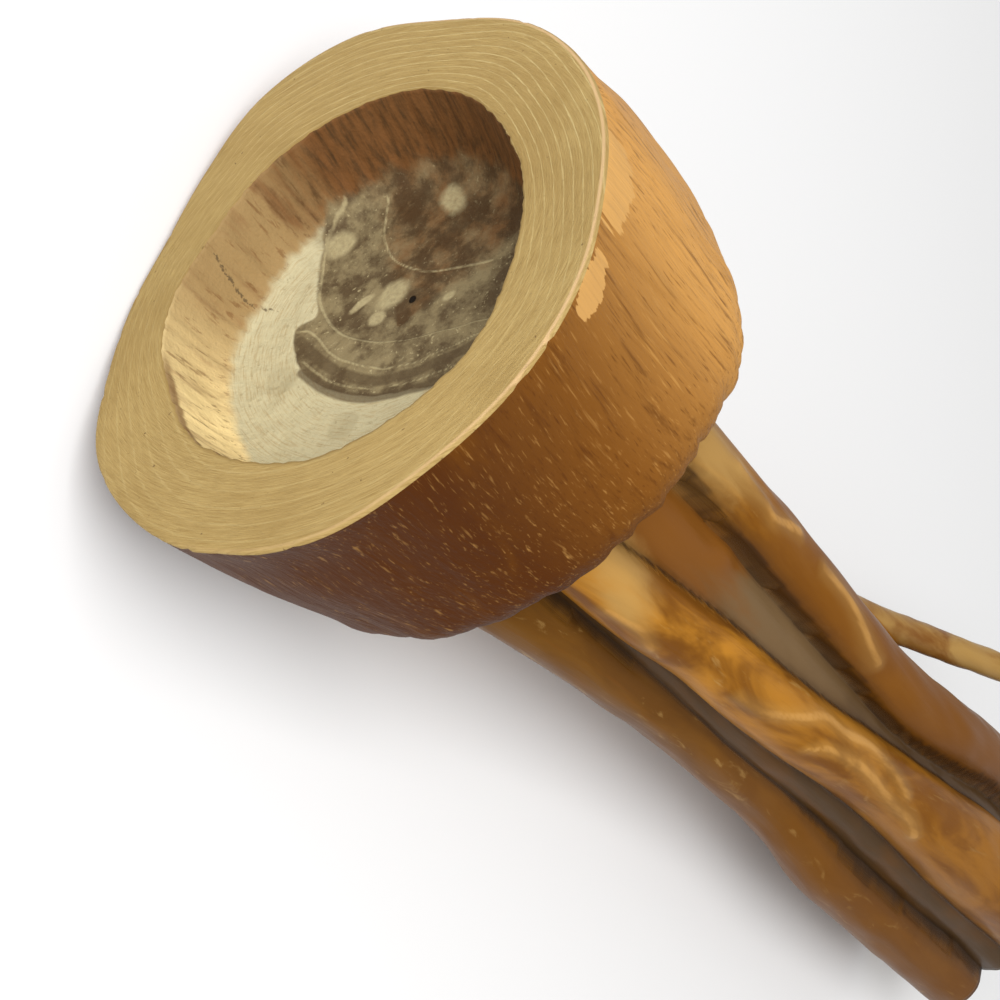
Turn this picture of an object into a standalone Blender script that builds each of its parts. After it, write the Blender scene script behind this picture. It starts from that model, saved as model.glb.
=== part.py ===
"""A twisted branch: a sawn and hollowed log head that runs out into a bundle of fused stems.

The whole thing is one piece of wood, so it is one solid. It is drawn in the head's own frame,
with the sawn rim at height zero and the stems running down, and then laid on its side.
Lengths are in metres. Angles are in degrees.
"""

import math

import bmesh
import bpy
from mathutils import Matrix, Vector

# The sawn rim, as radii every 20 degrees around the head, and the mouth of the hollow in it.
RIM_RADII = (0.091, 0.095, 0.096, 0.101, 0.096, 0.082, 0.074, 0.075, 0.080,
             0.090, 0.096, 0.101, 0.102, 0.096, 0.092, 0.088, 0.085, 0.087)
MOUTH_RADII = (0.061, 0.064, 0.065, 0.063, 0.060, 0.057, 0.055, 0.058, 0.060,
               0.062, 0.068, 0.072, 0.075, 0.073, 0.070, 0.064, 0.061, 0.060)

# The head's outline further down, each at a share of the way from the rim to the base edge.
SIDE_OUTLINES = (
    (0.16, (0.093, 0.098, 0.099, 0.102, 0.096, 0.082, 0.073, 0.074, 0.079,
            0.089, 0.095, 0.097, 0.098, 0.095, 0.091, 0.088, 0.086, 0.089)),
    (0.45, (0.096, 0.106, 0.107, 0.106, 0.098, 0.083, 0.073, 0.074, 0.078,
            0.085, 0.090, 0.093, 0.094, 0.092, 0.089, 0.088, 0.087, 0.091)),
    (0.75, (0.094, 0.105, 0.109, 0.105, 0.098, 0.084, 0.075, 0.075, 0.077,
            0.080, 0.083, 0.086, 0.088, 0.087, 0.086, 0.086, 0.086, 0.088)),
    (1.00, (0.087, 0.098, 0.103, 0.100, 0.095, 0.083, 0.076, 0.075, 0.073,
            0.074, 0.078, 0.081, 0.083, 0.083, 0.082, 0.082, 0.083, 0.084)),
)

# How deep the base edge of the head lies, every 30 degrees, and how far it is rounded over.
BASE_DEPTHS = (0.089, 0.091, 0.092, 0.092, 0.092, 0.090, 0.088, 0.085, 0.081, 0.080, 0.081, 0.086)
BASE_ROUNDING = 0.015
RIM_EDGE_ROUNDING = 0.0012

# The hollow, as a share of the mouth's radius and a depth, from the mouth to the floor.
HOLLOW_PROFILE = (
    (0.985, 0.002), (0.965, 0.010), (0.945, 0.018), (0.90, 0.025), (0.82, 0.0285),
    (0.66, 0.0305), (0.50, 0.0315), (0.46, 0.034), (0.22, 0.035),
)

# The middle of the wood at each depth, which drifts as the stem bends.
CENTRE_LINE = (
    (0.000, 0.000, 0.000), (0.040, 0.001, -0.001), (0.075, 0.006, -0.010), (0.095, 0.012, -0.021),
    (0.200, 0.022, -0.019), (0.350, 0.037, -0.014), (0.580, 0.060, -0.008),
)

# Each stem of the bundle: depth, angle around the middle, distance from it, and radius.
STEMS = {
    "front_stem": (
        (0.060, -24, 0.037, 0.012), (0.100, -22, 0.037, 0.012), (0.140, -17, 0.037, 0.013),
        (0.180, -11, 0.037, 0.0132), (0.220, -8, 0.037, 0.0136), (0.260, -4, 0.037, 0.014),
        (0.300, 2, 0.037, 0.0145), (0.340, 6, 0.037, 0.0157), (0.380, 9, 0.0365, 0.018),
        (0.430, 12, 0.035, 0.021), (0.580, 20, 0.033, 0.024)),
    "sunken_stem": (
        (0.060, 16, 0.022, 0.017), (0.100, 16, 0.022, 0.017), (0.180, 22, 0.021, 0.0175),
        (0.260, 24, 0.021, 0.0175), (0.300, 26, 0.021, 0.0175), (0.340, 31, 0.021, 0.0175),
        (0.420, 43, 0.021, 0.0175), (0.580, 66, 0.022, 0.017)),
    "upper_stem": (
        (0.060, 58, 0.042, 0.0122), (0.100, 57, 0.042, 0.012), (0.140, 55, 0.042, 0.0118),
        (0.180, 55, 0.042, 0.0125), (0.260, 52, 0.042, 0.0125), (0.300, 52, 0.042, 0.0138),
        (0.340, 57, 0.0425, 0.0143), (0.380, 66, 0.043, 0.0144), (0.420, 76, 0.043, 0.0146),
        (0.580, 108, 0.042, 0.015)),
    "upper_outer_stem": (
        (0.060, 90, 0.030, 0.015), (0.100, 90, 0.030, 0.015), (0.260, 88, 0.030, 0.015),
        (0.340, 95, 0.030, 0.015), (0.420, 112, 0.030, 0.016), (0.580, 140, 0.031, 0.017)),
    "lower_stem": (
        (0.060, -42, 0.024, 0.016), (0.100, -42, 0.024, 0.016), (0.180, -36, 0.024, 0.016),
        (0.260, -33, 0.024, 0.016), (0.340, -29, 0.024, 0.016), (0.420, -28, 0.025, 0.0165),
        (0.580, -28, 0.026, 0.017)),
    "lower_outer_stem": (
        (0.060, -62, 0.047, 0.0135), (0.100, -62, 0.0455, 0.0135), (0.140, -62, 0.042, 0.0135),
        (0.180, -62, 0.0395, 0.0135), (0.220, -62, 0.037, 0.0135), (0.300, -62, 0.037, 0.0135),
        (0.340, -62, 0.0405, 0.014), (0.380, -62, 0.0445, 0.0145), (0.420, -62, 0.0455, 0.015),
        (0.580, -60, 0.046, 0.016)),
    "flank_stem": (
        (0.060, -92, 0.033, 0.017), (0.100, -92, 0.033, 0.017), (0.260, -90, 0.031, 0.0165),
        (0.420, -88, 0.033, 0.017), (0.580, -84, 0.036, 0.018)),
    "under_stem": (
        (0.060, -125, 0.031, 0.019), (0.100, -125, 0.031, 0.019), (0.250, -117, 0.030, 0.018),
        (0.350, -113, 0.030, 0.018), (0.580, -104, 0.031, 0.018)),
    "back_stem": (
        (0.060, 170, 0.031, 0.019), (0.100, 170, 0.031, 0.019), (0.250, 178, 0.030, 0.018),
        (0.350, 182, 0.030, 0.018), (0.580, 189, 0.032, 0.018)),
    "back_upper_stem": (
        (0.060, 122, 0.031, 0.019), (0.100, 122, 0.031, 0.019), (0.250, 126, 0.030, 0.018),
        (0.350, 128, 0.030, 0.018), (0.580, 150, 0.031, 0.018)),
}
# A slender stem that winds around the back of the bundle and leaves it sideways.
SIDE_SHOOT = (
    (0.070, 222, 0.034, 0.011), (0.120, 200, 0.041, 0.010), (0.195, 155, 0.042, 0.0088),
    (0.272, 106, 0.0405, 0.0075), (0.340, 98, 0.059, 0.0068), (0.400, 94, 0.078, 0.0066),
    (0.462, 92, 0.095, 0.0064),
)
# A stem that parts from the underside near the far end.
UNDER_SHOOT = (
    (0.400, -132, 0.028, 0.013), (0.470, -126, 0.033, 0.013), (0.530, -116, 0.043, 0.013),
    (0.580, -110, 0.054, 0.013),
)
HEARTWOOD = ((0.060, 0, 0.0, 0.026), (0.580, 0, 0.0, 0.026))

# Where the far end is sawn off, and how much the saw was tipped.
SAWN_LENGTH = 0.540
SAW_TIP = (3.0, -4.0)

# How the piece lies: turned about its length onto the head's flat side, then tipped until the
# head's base edge and the far end both touch what it lies on.
TURN_ABOUT_LENGTH = 140.8
RIM_TIPPED_UP = 6.8

# How finely the surfaces are divided.
HEAD_SIDES = 54
SIDE_LEVELS = (0.013, 0.1, 0.22, 0.36, 0.5, 0.64, 0.76)
ROUNDING_STEPS = (0.0, 25.0, 45.0, 65.0, 85.0)
STEM_SIDES = 14
STEM_STEP = 0.026
WASTE_LENGTH = 0.4


def around(values, angle):
    """Reads a smooth closed outline, given at even angles, at any angle."""
    count = len(values)
    place = (angle % 360.0) / 360.0 * count
    first = int(place)
    share = place - first
    before, here, after, beyond = (values[(first + step) % count] for step in (-1, 0, 1, 2))
    curve = 3 * (here - after) + beyond - before
    bend = share * (2 * before - 5 * here + 4 * after - beyond + share * curve)
    return here + 0.5 * share * (after - before + bend)


def along(stations, depth):
    """Reads a row of stations, each starting with its depth, at any depth, with even slopes."""
    last = len(stations) - 2
    first = min(max(sum(1 for row in stations if row[0] < depth) - 1, 0), last)
    low, high = stations[first], stations[first + 1]
    span = high[0] - low[0]
    share = min(max((depth - low[0]) / span, 0.0), 1.0)

    def slope(row):
        near = max(row - 1, 0)
        far = min(row + 1, len(stations) - 1)
        run = stations[far][0] - stations[near][0]
        return [(b - a) / run for a, b in zip(stations[near][1:], stations[far][1:])]

    square = share * share
    cube = square * share
    weights = (2 * cube - 3 * square + 1, (cube - 2 * square + share) * span,
               3 * square - 2 * cube, (cube - square) * span)
    return [weights[0] * a + weights[1] * p + weights[2] * b + weights[3] * q
            for a, p, b, q in zip(low[1:], slope(first), high[1:], slope(first + 1))]


def loft(name, rings):
    """Skins closed rings of points, and closes both ends with a fan."""
    mesh = bmesh.new()
    loops = [[mesh.verts.new(point) for point in ring] for ring in rings]
    for one, two in zip(loops, loops[1:]):
        for k in range(len(one)):
            j = (k + 1) % len(one)
            mesh.faces.new((one[k], one[j], two[j], two[k]))
    for loop in (loops[0], loops[-1]):
        middle = mesh.verts.new(sum((v.co for v in loop), Vector()) / len(loop))
        for k in range(len(loop)):
            mesh.faces.new((loop[k], loop[(k + 1) % len(loop)], middle))
    bmesh.ops.recalc_face_normals(mesh, faces=mesh.faces)
    data = bpy.data.meshes.new(name)
    mesh.to_mesh(data)
    mesh.free()
    thing = bpy.data.objects.new(name, data)
    bpy.context.collection.objects.link(thing)
    return thing


def ring_point(depth, angle, radius):
    """A point of the head, at a depth below the rim."""
    aside, ahead = along(CENTRE_LINE, depth)
    turn = math.radians(angle)
    return Vector((aside + radius * math.cos(turn), ahead + radius * math.sin(turn), -depth))


def side_radius(share, angle):
    """The head's radius at a share of the way from the rim to the base edge."""
    rows = [(0.0, around(RIM_RADII, angle))]
    rows += [(level, around(outline, angle)) for level, outline in SIDE_OUTLINES]
    return along(rows, share)[0]


def make_head():
    """The log end: floor and wall of the hollow, the flat rim, the side and the rounded base edge."""
    angles = [360.0 * k / HEAD_SIDES for k in range(HEAD_SIDES)]
    rings = []
    for share, depth in reversed(HOLLOW_PROFILE):
        rings.append([ring_point(depth, a, share * around(MOUTH_RADII, a)) for a in angles])
    rings.append([ring_point(0.0, a, around(MOUTH_RADII, a)) for a in angles])
    rings.append([ring_point(0.0, a, around(RIM_RADII, a) - RIM_EDGE_ROUNDING) for a in angles])
    for share in SIDE_LEVELS:
        rings.append([ring_point(share * around(BASE_DEPTHS, a), a, side_radius(share, a)) for a in angles])
    for roll in ROUNDING_STEPS:
        inward = BASE_ROUNDING * (1 - math.cos(math.radians(roll)))
        down = BASE_ROUNDING * (1 - math.sin(math.radians(roll)))
        ring = []
        for a in angles:
            depth = around(BASE_DEPTHS, a) - down
            ring.append(ring_point(depth, a, side_radius(depth / around(BASE_DEPTHS, a), a) - inward))
        rings.append(ring)
    return loft("twisted_branch", rings)


def make_stem(name, stations):
    """One stem as a tube whose level sections are circles, which the bundle is joined from."""
    first, last = stations[0][0], stations[-1][0]
    count = max(3, round((last - first) / STEM_STEP))
    rings = []
    for step in range(count + 1):
        depth = first + (last - first) * step / count
        angle, distance, radius = along(stations, depth)
        aside, ahead = along(CENTRE_LINE, depth)
        middle_x = aside + distance * math.sin(math.radians(angle))
        middle_y = ahead - distance * math.cos(math.radians(angle))
        ring = []
        for side in range(STEM_SIDES):
            turn = 2 * math.pi * side / STEM_SIDES
            out_x = middle_x + radius * math.cos(turn)
            out_y = middle_y + radius * math.sin(turn)
            ring.append(Vector((out_x, out_y, -depth)))
        rings.append(ring)
    return loft(name, rings)


def as_guide(thing):
    """Marks an object as a tool for shaping, which isn't a piece of its own."""
    thing.hide_render = True
    thing.display_type = "WIRE"
    return thing


def shape_with(body, tool, operation):
    """Joins a tool to the body, or cuts the tool away from it."""
    step = body.modifiers.new(tool.name, "BOOLEAN")
    step.operation = operation
    step.solver = "EXACT"
    step.object = as_guide(tool)


def saw_block():
    """The waste that the saw takes off the far end, with a slightly tipped face."""
    mesh = bmesh.new()
    bmesh.ops.create_cube(mesh, size=WASTE_LENGTH)
    data = bpy.data.meshes.new("saw_block")
    mesh.to_mesh(data)
    mesh.free()
    block = bpy.data.objects.new("saw_block", data)
    bpy.context.collection.objects.link(block)
    aside, ahead = along(CENTRE_LINE, SAWN_LENGTH)
    tip_x, tip_y = (math.radians(angle) for angle in SAW_TIP)
    tip = Matrix.Rotation(tip_x, 4, "X") @ Matrix.Rotation(tip_y, 4, "Y")
    face_at_origin = Matrix.Translation((0, 0, -WASTE_LENGTH / 2))
    block.matrix_world = Matrix.Translation((aside, ahead, -SAWN_LENGTH)) @ tip @ face_at_origin
    return block


def varnished_wood():
    """Amber brown wood under a satin varnish."""
    wood = bpy.data.materials.new("varnished_wood")
    wood.use_nodes = True
    shader = wood.node_tree.nodes["Principled BSDF"]
    shader.inputs["Base Color"].default_value = (0.36, 0.15, 0.04, 1.0)
    shader.inputs["Roughness"].default_value = 0.42
    shader.inputs["Metallic"].default_value = 0.0
    return wood


def lay_down(body, tools):
    """Turns the whole thing onto its side, and stands it at the middle of its own footprint."""
    turn = Matrix.Rotation(math.radians(TURN_ABOUT_LENGTH), 4, "Z")
    tip = Matrix.Rotation(math.radians(90.0 - RIM_TIPPED_UP), 4, "X")
    for thing in [body] + tools:
        thing.matrix_world = tip @ turn @ thing.matrix_world
    bpy.context.view_layer.update()
    shaped = body.evaluated_get(bpy.context.evaluated_depsgraph_get())
    points = [shaped.matrix_world @ v.co for v in shaped.data.vertices]
    low = Vector(min(p[axis] for p in points) for axis in range(3))
    high = Vector(max(p[axis] for p in points) for axis in range(3))
    shift = Matrix.Translation((-(low.x + high.x) / 2, -(low.y + high.y) / 2, -low.z))
    for thing in [body] + tools:
        thing.matrix_world = shift @ thing.matrix_world


for old in list(bpy.data.objects):
    bpy.data.objects.remove(old, do_unlink=True)

branch = make_head()
tools = []
for stem_name, stem_stations in STEMS.items():
    tools.append(make_stem(stem_name, stem_stations))
tools.append(make_stem("heartwood", HEARTWOOD))
tools.append(make_stem("under_shoot", UNDER_SHOOT))
for tool in tools:
    shape_with(branch, tool, "UNION")
block = saw_block()
shape_with(branch, block, "DIFFERENCE")
shoot = make_stem("side_shoot", SIDE_SHOOT)
shape_with(branch, shoot, "UNION")
branch.data.materials.append(varnished_wood())
lay_down(branch, tools + [block, shoot])
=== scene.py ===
import math

import bpy
import numpy as np
from mathutils import Matrix, Vector, noise


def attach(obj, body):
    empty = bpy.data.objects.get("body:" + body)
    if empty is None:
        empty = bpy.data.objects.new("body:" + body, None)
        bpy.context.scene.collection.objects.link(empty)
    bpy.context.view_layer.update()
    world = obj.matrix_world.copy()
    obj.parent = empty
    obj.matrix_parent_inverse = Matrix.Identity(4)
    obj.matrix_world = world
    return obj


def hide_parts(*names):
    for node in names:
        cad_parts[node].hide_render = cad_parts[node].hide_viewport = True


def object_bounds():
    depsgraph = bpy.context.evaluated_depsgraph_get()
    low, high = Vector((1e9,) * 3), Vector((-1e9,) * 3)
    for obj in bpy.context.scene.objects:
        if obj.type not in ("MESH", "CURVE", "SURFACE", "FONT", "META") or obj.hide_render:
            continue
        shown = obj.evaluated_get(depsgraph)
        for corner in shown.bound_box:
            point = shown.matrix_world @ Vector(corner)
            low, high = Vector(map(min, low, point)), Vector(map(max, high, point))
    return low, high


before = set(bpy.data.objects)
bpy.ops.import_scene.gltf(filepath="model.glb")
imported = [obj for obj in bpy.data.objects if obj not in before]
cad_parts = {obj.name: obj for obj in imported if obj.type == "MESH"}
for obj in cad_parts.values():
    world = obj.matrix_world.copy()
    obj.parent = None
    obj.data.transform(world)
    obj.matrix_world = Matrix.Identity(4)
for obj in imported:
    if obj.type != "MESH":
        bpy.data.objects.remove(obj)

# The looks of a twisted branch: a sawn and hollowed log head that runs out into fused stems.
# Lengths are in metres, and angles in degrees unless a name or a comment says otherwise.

cad_low, cad_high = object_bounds()


# How the branch lies. It is drawn upright, with the middle of its sawn rim at zero and its stems
# running down, and is then turned onto the flat of its head and laid on its side.
TURNED = math.radians(140.8)
RIM_RAISED = math.radians(6.8)
RIM_MIDDLE = Vector((0.005833, -0.270271, 0.075519))

laid_down = Matrix.Translation(RIM_MIDDLE)
laid_down @= Matrix.Rotation(math.pi / 2 - RIM_RAISED, 4, "X") @ Matrix.Rotation(TURNED, 4, "Z")


# The camera, half a metre off, which looks down at the rim from in front of the stems. Its place
# and its tilt and roll are given on the upright branch, and it is laid down with it.
CAMERA_PLACE = Vector((-0.0080, -0.4201, 0.3000))
CAMERA_TILT = math.radians(45.0)
CAMERA_ROLL = math.radians(-39.24)
CAMERA_LENS = 63.4
CAMERA_SENSOR = 36.0

camera = bpy.data.objects.new("camera", bpy.data.cameras.new("camera"))
bpy.context.scene.collection.objects.link(camera)
camera.data.lens = CAMERA_LENS
camera.data.sensor_width = CAMERA_SENSOR
camera.matrix_world = (laid_down @ Matrix.Translation(CAMERA_PLACE)
                       @ Matrix.Rotation(CAMERA_TILT, 4, "X") @ Matrix.Rotation(CAMERA_ROLL, 4, "Z"))
bpy.context.scene.camera = camera


# The log head. It is a sawn log end whose bark and outer wood were shaved off with a drawknife,
# so that its outline drifts from the sawn rim to the rounded base edge, with shallow flats and
# thin grooves along the grain.

# Outlines are radii every 20 degrees, after a share of the way down, and base depths every 30.
RIM_RADII = (0.091, 0.095, 0.096, 0.101, 0.096, 0.082, 0.074, 0.075, 0.080,
             0.090, 0.096, 0.101, 0.102, 0.096, 0.092, 0.088, 0.085, 0.087)
MOUTH_RADII = (0.061, 0.064, 0.065, 0.063, 0.060, 0.057, 0.055, 0.058, 0.060,
               0.062, 0.068, 0.072, 0.075, 0.073, 0.070, 0.064, 0.061, 0.060)
SIDE_OUTLINES = (
    (0.00, *RIM_RADII),
    (0.16, 0.093, 0.098, 0.099, 0.102, 0.096, 0.082, 0.073, 0.074, 0.079,
     0.089, 0.095, 0.097, 0.098, 0.095, 0.091, 0.088, 0.086, 0.089),
    (0.45, 0.096, 0.106, 0.107, 0.106, 0.098, 0.083, 0.073, 0.074, 0.078,
     0.085, 0.090, 0.093, 0.094, 0.092, 0.089, 0.088, 0.087, 0.091),
    (0.75, 0.094, 0.105, 0.109, 0.105, 0.098, 0.084, 0.075, 0.075, 0.077,
     0.080, 0.083, 0.086, 0.088, 0.087, 0.086, 0.086, 0.086, 0.088),
    (1.00, 0.087, 0.098, 0.103, 0.100, 0.095, 0.083, 0.076, 0.075, 0.073,
     0.074, 0.078, 0.081, 0.083, 0.083, 0.082, 0.082, 0.083, 0.084),
)
BASE_DEPTHS = (0.089, 0.091, 0.092, 0.092, 0.092, 0.090, 0.088, 0.085, 0.081, 0.080, 0.081, 0.086)
BASE_ROUNDING = 0.015
BASE_ROLLS_TO = 84.0
RIM_EDGE_ROUNDING = 0.0012
RIM_EDGE_ROLLS = (30.0, 60.0, 90.0)
FIRST_RIM_SHARE = 0.03
CENTRE_LINE = (
    (0.000, 0.000, 0.000), (0.040, 0.001, -0.001), (0.075, 0.006, -0.010), (0.095, 0.012, -0.021),
    (0.200, 0.022, -0.019), (0.350, 0.037, -0.014), (0.580, 0.060, -0.008),
)
# The numbers of columns and rows, and the sizes and depths of the marks of the knife.
COLUMNS = 288
RIM_ROWS = 14
SIDE_ROWS = 44
ROUNDING_ROWS = 9
FLAT_SIZE = (0.014, 0.014, 0.070)
FLAT_DEPTH = 0.0006
GROOVE_SIZE = (0.0035, 0.0035, 0.030)
GROOVE_DEPTH = 0.00022
SHAVED_FROM = 0.006
EDGE_RADIUS = 0.095
CHIP_SIZE = 0.0045
CHIP_DEPTH = 0.0012
CHIPPED_ABOVE = 0.45
CHIPPED_ROWS = 4
MOUTH_LUMP_SIZE = 0.0040
MOUTH_LUMPS = 0.0005
BASE_LOBE_SIZE = 0.0060
BASE_LOBES = 0.0010

turns = np.linspace(0.0, 2 * math.pi, COLUMNS, endpoint=False)
outward = np.stack([np.cos(turns), np.sin(turns)], axis=1)


def around(values, turn):
    """Reads a closed outline, given at even angles, at any angles in radians."""
    values = np.asarray(values)
    count = len(values)
    place = (turn / (2 * math.pi) * count) % count
    first = np.floor(place).astype(int)
    share = place - first
    before, here, after, beyond = (values[(first + step) % count] for step in (-1, 0, 1, 2))
    curve = 3 * (here - after) + beyond - before
    bend = share * (2 * before - 5 * here + 4 * after - beyond + share * curve)
    return here + 0.5 * share * (after - before + bend)


def along(stations, depth):
    """Reads a row of stations, each starting with its depth, at any depths, with even slopes."""
    stations = np.asarray(stations, float)
    at, values = stations[:, 0], stations[:, 1:]
    slopes = np.empty_like(values)
    slopes[1:-1] = (values[2:] - values[:-2]) / (at[2:] - at[:-2])[:, None]
    slopes[0] = (values[1] - values[0]) / (at[1] - at[0])
    slopes[-1] = (values[-1] - values[-2]) / (at[-1] - at[-2])
    depth = np.atleast_1d(depth)
    first = np.clip(np.searchsorted(at, depth) - 1, 0, len(at) - 2)
    span = at[first + 1] - at[first]
    share = np.clip((depth - at[first]) / span, 0.0, 1.0)
    square, cube = share ** 2, share ** 3
    weights = (2 * cube - 3 * square + 1, (cube - 2 * square + share) * span,
               3 * square - 2 * cube, (cube - square) * span)
    parts = (values[first], slopes[first], values[first + 1], slopes[first + 1])
    return sum(weight[:, None] * part for weight, part in zip(weights, parts)).T


def uneven(places, size, seed):
    """Smooth random values from about -1 to 1, in lumps of a size along x, y and z."""
    return np.array([noise.noise(Vector(place)) for place in places / np.asarray(size) + seed]) * 1.6


def ring(radius, depth):
    """One closed row of points around the middle of the wood, at its own depth for each column."""
    depth = np.broadcast_to(depth, turns.shape)
    aside, ahead = along(CENTRE_LINE, depth)
    return np.stack([aside + radius * outward[:, 0], ahead + radius * outward[:, 1], -depth], axis=1)


def side_radius(share):
    """The head's radius in each column, at a share of the way from the rim to the base edge."""
    levels = np.array([row[0] for row in SIDE_OUTLINES])
    outlines = np.array([around(row[1:], turns) for row in SIDE_OUTLINES])
    share = np.broadcast_to(share, turns.shape)
    first = np.clip(np.searchsorted(levels, share) - 1, 0, len(levels) - 2)
    slopes = np.gradient(outlines, levels, axis=0)
    span = levels[first + 1] - levels[first]
    part = (share - levels[first]) / span
    columns = np.arange(COLUMNS)
    square, cube = part ** 2, part ** 3
    return ((2 * cube - 3 * square + 1) * outlines[first, columns]
            + (cube - 2 * square + part) * span * slopes[first, columns]
            + (3 * square - 2 * cube) * outlines[first + 1, columns]
            + (cube - square) * span * slopes[first + 1, columns])


def shaved(row, depth):
    """How far the drawknife's flats and the grooves of the grain stand out along a row."""
    marks = FLAT_DEPTH * uneven(row, FLAT_SIZE, seed=3.7)
    marks += GROOVE_DEPTH * uneven(row, GROOVE_SIZE, seed=11.3)
    return marks * np.clip(depth / SHAVED_FROM, 0.0, 1.0)


edge_places = np.column_stack([EDGE_RADIUS * outward, np.zeros(COLUMNS)])
chips = np.maximum(uneven(edge_places, CHIP_SIZE, seed=5.1) - CHIPPED_ABOVE, 0.0) * CHIP_DEPTH
rim = around(RIM_RADII, turns) - chips
mouth = around(MOUTH_RADII, turns) + MOUTH_LUMPS * uneven(edge_places, MOUTH_LUMP_SIZE, seed=8.2)
base_depth = around(BASE_DEPTHS, turns) + BASE_LOBES * uneven(edge_places, BASE_LOBE_SIZE, seed=2.4)

rim_rows = []
for share in np.linspace(FIRST_RIM_SHARE, 1.0, RIM_ROWS):
    rim_rows.append(ring(mouth + share * (rim - RIM_EDGE_ROUNDING - mouth), 0.0))
for roll in np.radians(RIM_EDGE_ROLLS):
    radius = rim - RIM_EDGE_ROUNDING * (1 - math.sin(roll))
    rim_rows.append(ring(radius, RIM_EDGE_ROUNDING * (1 - math.cos(roll))))

side_rows = []
for k in range(1, SIDE_ROWS + 1):
    straight = base_depth - BASE_ROUNDING - RIM_EDGE_ROUNDING
    depth = RIM_EDGE_ROUNDING + straight * k / SIDE_ROWS
    row = ring(side_radius(depth / base_depth), depth)
    chipped = chips * max(1 - k / CHIPPED_ROWS, 0)
    row[:, :2] += outward * (shaved(row, depth) - chipped)[:, None]
    side_rows.append(row)
for roll in np.linspace(0.0, math.radians(BASE_ROLLS_TO), ROUNDING_ROWS + 1)[1:]:
    depth = base_depth - BASE_ROUNDING * (1 - math.sin(roll))
    row = ring(side_radius(depth / base_depth) - BASE_ROUNDING * (1 - math.cos(roll)), depth)
    row[:, :2] += outward * (shaved(row, depth) * math.cos(roll))[:, None]
    side_rows.append(row)


# The hollow, routed and chiselled into the end grain: a steep wall with chisel marks down it, a
# rounded foot, and a floor that the cutter left in shallow steps.

# Each row is the way along the profile from the middle, a share of the mouth's radius and a depth.
HOLLOW_PROFILE = (
    (0.0000, 0.00, 0.0340), (0.0370, 0.60, 0.0325), (0.0480, 0.78, 0.0308), (0.0533, 0.86, 0.0288),
    (0.0578, 0.91, 0.0255), (0.0637, 0.945, 0.0200), (0.0698, 0.965, 0.0140), (0.0779, 0.985, 0.0060),
    (0.0842, 1.00, 0.0000),
)
FLOOR_ROWS = 54
WALL_ROWS = 27
FLOOR_ENDS_AT = 0.0533
FIRST_FLOOR_SHARE = 0.02
CHISEL_SIZE = (0.0042, 0.0042, 0.030)
CHISEL_DEPTH = 0.00045
WALL_STARTS_AT = 0.84
WALL_BLEND = 0.06
OPEN_EDGE = 0.004
FLOOR_LUMP_SIZE = 0.0065
FLOOR_LUMPS = 0.0004
STEP_DEPTH = 0.0007
# The outlines of the dark floor and of the deeper cut in it, in millimetres on the rim's plane.
DARK_FLOOR = ((15, 57), (4, 53), (-4, 46), (-11, 36), (-16, 27), (-24, 27), (-29, 18), (-30, 8),
              (-27, -5), (-19, -19), (-8, -29), (6, -38), (40, -46), (76, 0), (60, 62))
INNER_CUT = ((14, 55), (3, 53), (-4, 47), (-9, 38), (-13, 30), (-14, 16), (-10, 5), (-1, -7),
             (10, -16), (22, -25), (40, -38), (76, 0), (60, 62))


def smooth_line(points, closed=False, steps=8):
    """More points along a line through the given ones, without corners."""
    points = np.asarray(points, float)
    count = len(points)
    lined = []
    for k in range(count if closed else count - 1):
        near = [k - 1, k, k + 1, k + 2]
        near = [j % count if closed else min(max(j, 0), count - 1) for j in near]
        before, here, after, beyond = points[near]
        for share in np.arange(steps) / steps:
            curve = 3 * (here - after) + beyond - before
            bend = share * (2 * before - 5 * here + 4 * after - beyond + share * curve)
            lined.append(here + 0.5 * share * (after - before + bend))
    lined.append(points[0] if closed else points[-1])
    return np.array(lined)


def distance_to(line, places):
    """How far each place lies from a line of points."""
    nearest = np.full(len(places), 1e6)
    for start, end in zip(line[:-1], line[1:]):
        run = end - start
        share = np.clip((places - start) @ run / (run @ run), 0.0, 1.0)
        gap = places - start - share[:, None] * run
        nearest = np.minimum(nearest, np.hypot(gap[:, 0], gap[:, 1]))
    return nearest


def depth_inside(outline, places):
    """How far each place lies inside a closed outline, below zero outside it."""
    line = smooth_line(outline, closed=True)
    crossed = np.zeros(len(places), bool)
    for (x0, y0), (x1, y1) in zip(line[:-1], line[1:]):
        spans = (y0 > places[:, 1]) != (y1 > places[:, 1])
        climb = y1 - y0 if y1 != y0 else 1e-9
        crossed ^= spans & (places[:, 0] < x0 + (places[:, 1] - y0) * (x1 - x0) / climb)
    return np.where(crossed, 1, -1) * distance_to(line, places)


hollow_rows = []
path = np.concatenate([
    np.linspace(FIRST_FLOOR_SHARE * FLOOR_ENDS_AT, FLOOR_ENDS_AT, FLOOR_ROWS, endpoint=False),
    np.linspace(FLOOR_ENDS_AT, HOLLOW_PROFILE[-1][0], WALL_ROWS)])
for share, depth in along(HOLLOW_PROFILE, path).T:
    row = ring(share * mouth, max(depth, 0.0))
    on_wall = np.clip((share - WALL_STARTS_AT) / WALL_BLEND, 0.0, 1.0)
    open_edge = np.clip(depth / OPEN_EDGE, 0.0, 1.0)
    chiselled = CHISEL_DEPTH * on_wall * open_edge * uneven(row, CHISEL_SIZE, seed=6.6)
    row[:, :2] += outward * chiselled[:, None]
    steps = sum(np.clip(depth_inside(cut, row[:, :2] * 1000) + 0.5, 0.0, 1.0)
                for cut in (DARK_FLOOR, INNER_CUT))
    lumps = FLOOR_LUMPS * uneven(row, FLOOR_LUMP_SIZE, seed=1.9)
    row[:, 2] -= (1 - on_wall) * (lumps + STEP_DEPTH * (steps - 1))
    hollow_rows.append(row)


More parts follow.
